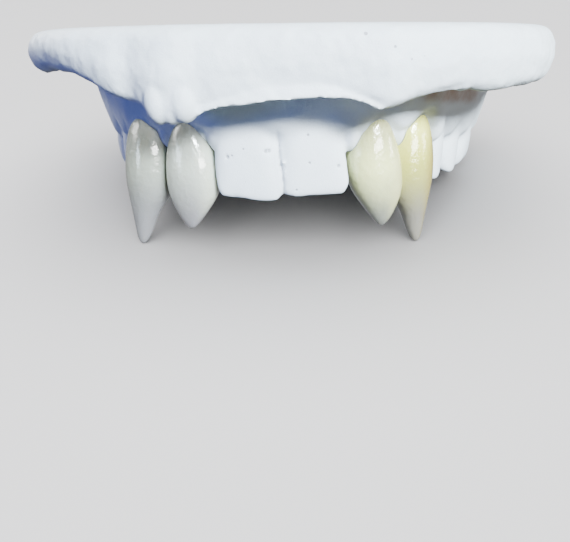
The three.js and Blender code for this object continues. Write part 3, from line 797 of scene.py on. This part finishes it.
def largest_part(obj):
    """The object without the crumbs and closed bubbles that a remesh leaves beside its main skin."""
    name = obj.name
    pick(obj)
    edit_whole()
    bpy.ops.mesh.separate(type="LOOSE")
    bpy.ops.object.mode_set(mode="OBJECT")
    parts = sorted(bpy.context.selected_objects, key=lambda part: len(part.data.vertices))
    main = parts.pop()
    for part in parts:
        bpy.data.objects.remove(part)
    main.name = name
    return main


def plaster_cast():
    """The whole cast: the solid's copy with its facets smoothed away, and freshly drawn crowns, gum wedges,
    lumps and rim on it, made one skin and then roughened. With it come its pits, as (place, radius)."""
    cast = copy_of_node("stone_cast", "plaster_cast")
    apply_modifier(cast, "Remesh", "REMESH", mode="VOXEL", voxel_size=ROUGH_VOXEL)
    smooth_away(cast, ROUGH_PASSES)
    crowns = [crown(side, tooth) for side in (-1, 1) for tooth in CROWNS]
    papillae = [papilla(side, tooth) for side in (-1, 1) for tooth in ("central", "lateral", "canine")]
    lumps = [lump(at, radii) for at, radii in RIM_LUMPS]
    beads = [lump(at, (radius, radius, radius), "bead") for at, radius in BEADS]
    cast = join([cast, *crowns, *papillae, rim_lip(), *lumps, *beads], "plaster_cast")
    apply_modifier(cast, "Remesh", "REMESH", mode="VOXEL", voxel_size=FINE_VOXEL)
    smooth_away(cast, FINE_PASSES)
    press_seam(cast)
    bpy.context.view_layer.update()
    pits = [(on_face(cast, place), radius) for place, radius in PITS]
    for centre, radius in pits:
        press_pit(cast, centre, radius)
    x, y, z = (coordinates(cast) / MM).T
    wide, deep = ROUGH_RADII
    base = ramp(z, *ROUGH_START) * (1 - FLAT_LOSS * ramp(z, *FLAT_START))
    outside = ramp(np.hypot(x / wide, (y - BASE_MIDDLE / MM) / deep), *ROUGH_OUTSIDE)
    weigh(cast, "rim", base * outside)
    weigh(cast, "all", np.ones(len(x)))
    for name, scale, height, group in RELIEF:
        roughen(cast, name, scale * MM, height * MM, group)
    faces = sum(len(face.vertices) - 2 for face in cast.data.polygons)
    apply_modifier(cast, "Decimate", "DECIMATE", ratio=min(1, CAST_FACES / faces))
    cast.vertex_groups.clear()
    cast = largest_part(cast)
    co = coordinates(cast)
    # Painted shade along the seam's groove, as a share for the material.
    write_share(cast, "seam_shade", SEAM_SHADE * seam_share(co, SEAM_SHADE_SPREAD * SEAM_REACH))
    # The brown colour in the fold under the rim, as a share for the material.
    write_share(cast, "fold_brown", fold_brown_share(co))
    return cast, pits


def seat_cutter(cast):
    """A copy of the cast, swelled by the gap that the caps keep to it."""
    cutter = cast.copy()
    cutter.data = cast.data.copy()
    cutter.name = "seat_cutter"
    bpy.context.scene.collection.objects.link(cutter)
    apply_modifier(cutter, "Swell", "DISPLACE", strength=CAP_SEAT, mid_level=0)
    return cutter


def hollowed(body, cutter):
    """The cap with the room for its stump cut out."""
    apply_modifier(body, "Room", "BOOLEAN", operation="DIFFERENCE", object=cutter, solver="MANIFOLD")
    return body


def shade_smooth(obj, angle):
    """Smooth shading, with edges over the angle left sharp."""
    pick(obj)
    bpy.ops.object.shade_smooth_by_angle(angle=math.radians(angle))


def new_material(name):
    """An empty material with its output and shader: (material, nodes, link, shader)."""
    material = bpy.data.materials.new(name)
    material.use_nodes = True
    tree = material.node_tree
    tree.nodes.clear()
    out = tree.nodes.new("ShaderNodeOutputMaterial")
    shader = tree.nodes.new("ShaderNodeBsdfPrincipled")
    tree.links.new(shader.outputs["BSDF"], out.inputs["Surface"])
    return material, tree.nodes, tree.links.new, shader


def new_effect(name, inputs, outputs):
    """An empty node group, whose inputs and outputs are (socket name, kind) pairs. It gives back the group,
    its nodes, its link function and its input and output nodes."""
    group = bpy.data.node_groups.new(name, "ShaderNodeTree")
    for way, sockets in (("INPUT", inputs), ("OUTPUT", outputs)):
        for socket, kind in sockets:
            group.interface.new_socket(socket, in_out=way, socket_type="NodeSocket" + kind)
    inside = group.nodes.new("NodeGroupInput")
    out = group.nodes.new("NodeGroupOutput")
    return group, group.nodes, group.links.new, inside, out


def use_effect(nodes, group, **values):
    """Places a node group in a material, with its own values."""
    node = nodes.new("ShaderNodeGroup")
    node.node_tree = group
    for socket, value in values.items():
        node.inputs[socket].default_value = value
    return node


def calculate(nodes, link, operation, *values, clamp=False):
    """A Math node on its values, each a socket or a number."""
    node = nodes.new("ShaderNodeMath")
    node.operation = operation
    node.use_clamp = clamp
    for socket, value in zip(node.inputs, values):
        if isinstance(value, bpy.types.NodeSocket):
            link(value, socket)
        else:
            socket.default_value = value
    return node.outputs[0]


def sharpened(nodes, link, mask, sharpness):
    """A mask with its contrast raised about its middle."""
    centred = calculate(nodes, link, "SUBTRACT", mask, 0.5)
    sharp = calculate(nodes, link, "MULTIPLY", centred, sharpness)
    return calculate(nodes, link, "ADD", sharp, 0.5, clamp=True)


def read_share(nodes, name):
    """The share that the mesh holds at each point under a name."""
    share = nodes.new("ShaderNodeAttribute")
    share.attribute_name = name
    return share.outputs["Fac"]


def emboss(nodes, link, shader, height, distance, strength):
    """Lets a height shape the shader's surface."""
    bump = nodes.new("ShaderNodeBump")
    bump.inputs["Distance"].default_value = distance
    bump.inputs["Strength"].default_value = strength
    link(height, bump.inputs["Height"])
    link(bump.outputs["Normal"], shader.inputs["Normal"])


def blend(nodes, link, share, a, b):
    """A mix of two colours, each a socket or a colour."""
    node = nodes.new("ShaderNodeMix")
    node.data_type = "RGBA"
    link(share, node.inputs["Factor"])
    for name, value in (("A", a), ("B", b)):
        if isinstance(value, bpy.types.NodeSocket):
            link(value, node.inputs[name])
        else:
            node.inputs[name].default_value = (*value, 1)
    return node.outputs["Result"]


def grain_effect():
    """Fine grain: a mask from 0 to 1, soft or sharp."""
    inputs = [("Scale", "Float"), ("Detail", "Float"), ("Sharpness", "Float")]
    group, nodes, link, inside, out = new_effect("plaster_grain", inputs, [("Mask", "Float")])
    place = nodes.new("ShaderNodeTexCoord")
    noise = nodes.new("ShaderNodeTexNoise")
    link(place.outputs["Object"], noise.inputs["Vector"])
    link(inside.outputs["Scale"], noise.inputs["Scale"])
    link(inside.outputs["Detail"], noise.inputs["Detail"])
    link(sharpened(nodes, link, noise.outputs["Fac"], inside.outputs["Sharpness"]), out.inputs["Mask"])
    return group


def bubble_effect():
    """Burst air bubbles: small round spots, in a share of the cells."""
    inputs = [("Scale", "Float"), ("Radius", "Float"), ("Share", "Float")]
    group, nodes, link, inside, out = new_effect("air_bubbles", inputs, [("Mask", "Float")])
    place = nodes.new("ShaderNodeTexCoord")
    cells = nodes.new("ShaderNodeTexVoronoi")
    link(place.outputs["Object"], cells.inputs["Vector"])
    link(inside.outputs["Scale"], cells.inputs["Scale"])
    lot = nodes.new("ShaderNodeSeparateColor")
    link(cells.outputs["Color"], lot.inputs["Color"])
    chosen = calculate(nodes, link, "LESS_THAN", lot.outputs["Red"], inside.outputs["Share"])
    size = calculate(nodes, link, "MULTIPLY", inside.outputs["Radius"], lot.outputs["Green"])
    depth = calculate(nodes, link, "DIVIDE", cells.outputs["Distance"], size)
    spot = calculate(nodes, link, "SUBTRACT", 1, depth, clamp=True)
    soft = calculate(nodes, link, "MULTIPLY", spot, BUBBLE_STEEPNESS, clamp=True)
    link(calculate(nodes, link, "MULTIPLY", soft, chosen), out.inputs["Mask"])
    return group


def place_in_cast(nodes, link):
    """The place of a point in the cast's own frame, which the lean of the cast turns in the row."""
    place = nodes.new("ShaderNodeTexCoord")
    turn = nodes.new("ShaderNodeMapping")
    turn.inputs["Location"].default_value = ROW_TO_CAST.to_translation()
    turn.inputs["Rotation"].default_value = ROW_TO_CAST.to_euler("XYZ")
    link(place.outputs["Object"], turn.inputs["Vector"])
    return turn.outputs["Vector"]


def spot_effect():
    """One round spot at a place in the cast's own frame: a mask that is 1 in its middle."""
    inputs = [("Centre", "Vector"), ("Radius", "Float")]
    group, nodes, link, inside, out = new_effect("spot", inputs, [("Mask", "Float")])
    away = nodes.new("ShaderNodeVectorMath")
    away.operation = "DISTANCE"
    link(place_in_cast(nodes, link), away.inputs[0])
    link(inside.outputs["Centre"], away.inputs[1])
    depth = calculate(nodes, link, "DIVIDE", away.outputs["Value"], inside.outputs["Radius"])
    spot = calculate(nodes, link, "SUBTRACT", 1, depth, clamp=True)
    link(calculate(nodes, link, "MULTIPLY", spot, SPOT_STEEPNESS, clamp=True), out.inputs["Mask"])
    return group


def band_effect():
    """Masks that rise from 0 to 1 between two heights, and between two places across the cast."""
    inputs = [(name, "Float") for name in ("Low", "High", "Near", "Far", "Wander")]
    outputs = [("Up", "Float"), ("Across", "Float")]
    group, nodes, link, inside, out = new_effect("bands", inputs, outputs)
    axes = nodes.new("ShaderNodeSeparateXYZ")
    link(place_in_cast(nodes, link), axes.inputs["Vector"])
    wander = calculate(nodes, link, "ADD", axes.outputs["Z"], inside.outputs["Wander"])
    ways = [(wander, "Low", "High", "Up"), (axes.outputs["X"], "Near", "Far", "Across")]
    for source, start, end, name in ways:
        share = nodes.new("ShaderNodeMapRange")
        share.interpolation_type = "SMOOTHSTEP"
        link(source, share.inputs["Value"])
        link(inside.outputs[start], share.inputs["From Min"])
        link(inside.outputs[end], share.inputs["From Max"])
        link(share.outputs["Result"], out.inputs[name])
    return group


def scratch_effect():
    """Fine scratches that run across, as a grinding wheel leaves them: a mask from 0 to 1."""
    inputs = [("Scale", "Float"), ("Stretch", "Float"), ("Sharpness", "Float")]
    group, nodes, link, inside, out = new_effect("wheel_scratches", inputs, [("Mask", "Float")])
    axes = nodes.new("ShaderNodeSeparateXYZ")
    link(place_in_cast(nodes, link), axes.inputs["Vector"])
    squeezed = nodes.new("ShaderNodeCombineXYZ")
    across = calculate(nodes, link, "DIVIDE", axes.outputs["X"], inside.outputs["Stretch"])
    link(across, squeezed.inputs["X"])
    link(axes.outputs["Y"], squeezed.inputs["Y"])
    noise = nodes.new("ShaderNodeTexNoise")
    link(squeezed.outputs["Vector"], noise.inputs["Vector"])
    link(inside.outputs["Scale"], noise.inputs["Scale"])
    link(sharpened(nodes, link, noise.outputs["Fac"], inside.outputs["Sharpness"]), out.inputs["Mask"])
    return group


def plaster_material(effects, pits):
    """Dental plaster: chalky white with grain, cloudy patches, burst bubbles, painted shade in the bubbles,
    pits and seam, brown in the fold under the rim and, on the flat top, the scratches of the wheel that
    ground it."""
    colours = PLASTER_COLOURS
    material, nodes, link, shader = new_material("dental_plaster")
    shader.inputs["Specular IOR Level"].default_value = 0.25
    shader.inputs["Subsurface Weight"].default_value = 0.2
    shader.inputs["Subsurface Radius"].default_value = (1, 1, 1)
    shader.inputs["Subsurface Scale"].default_value = 0.4 * MM
    fine = use_effect(nodes, effects["grain"], Scale=5200, Detail=4, Sharpness=1.6).outputs["Mask"]
    cloudy = use_effect(nodes, effects["grain"], Scale=420, Detail=3, Sharpness=1.8).outputs["Mask"]
    holes = use_effect(nodes, effects["bubbles"], Scale=620, Radius=0.16, Share=0.22).outputs["Mask"]
    for centre, radius in pits:
        spot = use_effect(nodes, effects["spot"], Centre=centre * MM, Radius=radius * MM * PIT_SHADE)
        holes = calculate(nodes, link, "MAXIMUM", holes, spot.outputs["Mask"])
    base = blend(nodes, link, cloudy, colours["dull"], colours["pale"])
    dusty = blend(nodes, link, fine, base, colours["dust"])
    # Painted shade: a darker grey along the seam's groove.
    seam_shaded = blend(nodes, link, read_share(nodes, "seam_shade"), dusty, colours["seam_shade"])
    # The brown colour in the fold under the rim, made patchy.
    patchy = calculate(nodes, link, "MULTIPLY_ADD", cloudy, 0.5, 0.5)
    brown = calculate(nodes, link, "MULTIPLY", read_share(nodes, "fold_brown"), patchy)
    fold_browned = blend(nodes, link, brown, seam_shaded, colours["fold_brown_colour"])
    # Painted shade: the pits and burst bubbles darkened.
    link(blend(nodes, link, holes, fold_browned, colours["hole_shade"]), shader.inputs["Base Color"])
    link(calculate(nodes, link, "MULTIPLY_ADD", cloudy, 0.25, 0.4), shader.inputs["Roughness"])
    on_top = use_effect(nodes, effects["bands"], Low=BASE_TOP - SCRATCH_FADE, High=BASE_TOP).outputs["Up"]
    marks = use_effect(nodes, effects["scratches"], Scale=900, Stretch=28, Sharpness=2.2).outputs["Mask"]
    ground = calculate(nodes, link, "MULTIPLY", marks, on_top)
    scratched = calculate(nodes, link, "MULTIPLY_ADD", ground, SCRATCH_RELIEF, fine)
    relief = calculate(nodes, link, "MULTIPLY_ADD", holes, HOLE_RELIEF, scratched)
    emboss(nodes, link, shader, relief, distance=0.035 * MM, strength=0.6)
    return material


def fang_material(name, effects, neck, body, tip, edge, edge_from, edge_to):
    """Glazed acrylic that runs from the neck's colour through the body's to the tip's, with a tinted edge.
    These colours hold painted light and shade besides the acrylic's own colour.
    Slow swells make the bands wander, and fine ones ripple the glaze."""
    material, nodes, link, shader = new_material(name)
    shader.inputs["Subsurface Weight"].default_value = 0.7
    shader.inputs["Subsurface Radius"].default_value = (1.5, 1.35, 1.1)
    shader.inputs["Subsurface Scale"].default_value = 1 * MM
    shader.inputs["IOR"].default_value = 1.5
    shader.inputs["Coat Weight"].default_value = 0.8
    shader.inputs["Coat Roughness"].default_value = 0.06
    cloudy = use_effect(nodes, effects["grain"], Scale=380, Detail=2, Sharpness=1.4).outputs["Mask"]
    wander = calculate(nodes, link, "MULTIPLY", cloudy, BAND_WANDER)
    across = {"Near": edge_from * MM, "Far": edge_to * MM}
    upper = use_effect(nodes, effects["bands"], Low=3.5 * MM, High=9.5 * MM, **across)
    lower = use_effect(nodes, effects["bands"], Low=-3.6 * MM, High=6 * MM)
    link(wander, upper.inputs["Wander"])
    link(wander, lower.inputs["Wander"])
    necked = blend(nodes, link, upper.outputs["Up"], body, neck)
    graded = blend(nodes, link, lower.outputs["Up"], tip, necked)
    link(blend(nodes, link, upper.outputs["Across"], graded, edge), shader.inputs["Base Color"])
    smears = use_effect(nodes, effects["grain"], Scale=900, Detail=3, Sharpness=1.6).outputs["Mask"]
    link(calculate(nodes, link, "MULTIPLY_ADD", smears, 0.14, 0.08), shader.inputs["Roughness"])
    ripple = use_effect(nodes, effects["grain"], Scale=1300, Detail=3, Sharpness=1).outputs["Mask"]
    emboss(nodes, link, shader, ripple, distance=0.16 * MM, strength=0.8)
    return material


def light_all_but(light, spares):
    """Keeps a light off some objects."""
    spared = bpy.data.collections.new(light.name + "_spares")
    for obj in spares:
        spared.objects.link(obj)
    light.light_linking.receiver_collection = spared
    for entry in spared.collection_objects:
        entry.light_linking.link_state = "EXCLUDE"


def add_table():
    """A plain pale table, which throws no light on the pieces and isn't reflected in them."""
    deselect()
    bpy.ops.mesh.primitive_plane_add(size=TABLE_SIZE, location=(0, 0, 0))
    table = bpy.context.object
    table.name = "table"
    material, _, _, shader = new_material("pale_table")
    shader.inputs["Base Color"].default_value = (*TABLE_COLOUR, 1)
    shader.inputs["Roughness"].default_value = TABLE_ROUGHNESS
    table.data.materials.append(material)
    table.visible_diffuse = False
    table.visible_glossy = False
    return table


def add_soft_box(name, lamp):
    """A soft box, as its row of the lamps says. It gives back its object."""
    bearing, rise = math.radians(lamp["bearing"]), math.radians(lamp["rise"])
    towards = Vector(LAMPS_AIM)
    ahead = Vector((math.sin(bearing), -math.cos(bearing), 0)) * math.cos(rise)
    at = towards + lamp["away"] * (ahead + Vector((0, 0, math.sin(rise))))
    data = bpy.data.lights.new(name, "AREA")
    data.shape = "RECTANGLE"
    data.size, data.size_y = lamp["size"]
    data.energy = lamp["power"]
    data.color = lamp["colour"]
    light = bpy.data.objects.new(name, data)
    bpy.context.scene.collection.objects.link(light)
    light.location = at
    light.rotation_mode = "QUATERNION"
    light.rotation_quaternion = (towards - at).to_track_quat("-Z", "Y")
    return light


def add_studio_walls():
    """Pale walls round the table. The pieces mirror them, but get only a little light from them."""
    world = bpy.data.worlds.new("studio")
    world.use_nodes = True
    bpy.context.scene.world = world
    nodes, link = world.node_tree.nodes, world.node_tree.links.new
    walls = nodes["Background"]
    walls.inputs["Color"].default_value = (*WALL_COLOUR, 1)
    path = nodes.new("ShaderNodeLightPath").outputs
    mirrored = calculate(nodes, link, "MULTIPLY_ADD", path["Is Glossy Ray"], WALL_MIRRORED, WALL_LIGHT)
    strength = calculate(nodes, link, "MULTIPLY_ADD", path["Is Camera Ray"], WALL_SEEN, mirrored)
    link(strength, walls.inputs["Strength"])


def add_camera():
    """The camera at the photograph's viewing angle."""
    data = bpy.data.cameras.new("camera")
    data.lens = CAMERA_LENS
    data.sensor_width = CAMERA_SENSOR
    data.clip_start = CAMERA_NEAR
    data.clip_end = CAMERA_FAR
    camera = bpy.data.objects.new("camera", data)
    bpy.context.scene.collection.objects.link(camera)
    turn = (
        Matrix.Rotation(math.radians(-CAMERA_YAW), 4, "Z")
        @ Matrix.Rotation(math.radians(90 + CAMERA_PITCH), 4, "X")
        @ Matrix.Rotation(math.radians(CAMERA_ROLL), 4, "Z")
    )
    camera.matrix_world = CAST_TO_ROW @ Matrix.Translation(CAMERA_AT) @ turn
    bpy.context.scene.camera = camera


cast, pits = plaster_cast()
cutter = seat_cutter(cast)
effects = {
    "grain": grain_effect(),
    "bubbles": bubble_effect(),
    "spot": spot_effect(),
    "bands": band_effect(),
    "scratches": scratch_effect(),
}
cast.data.materials.append(plaster_material(effects, pits))
place_in_mesh(cast, CAST_TO_ROW)
shade_smooth(cast, CAST_CREASE)
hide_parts("stone_cast")
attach(cast, "root")

caps = []
for name in CAPS:
    cap = hollowed(cap_body(name), cutter)
    cap.data.materials.clear()
    # Its colours are the acrylic's own, with painted light and shade in them.
    cap.data.materials.append(fang_material(name + "_acrylic", effects, **FANG_COLOURS_WITH_PAINTED_LIGHT[name]))
    place_in_mesh(cap, CAST_TO_ROW)
    shade_smooth(cap, CAP_CREASE)
    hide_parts(name)
    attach(cap, "root")
    caps.append(cap)
bpy.data.objects.remove(cutter)

table = add_table()
add_camera()
add_studio_walls()
spares = {"pieces": [table], "cast": [table, *caps], "caps": [table, cast], "table": [cast, *caps]}
for name, lamp in LAMPS.items():
    light_all_but(add_soft_box(name, lamp), spares[lamp["on"]])
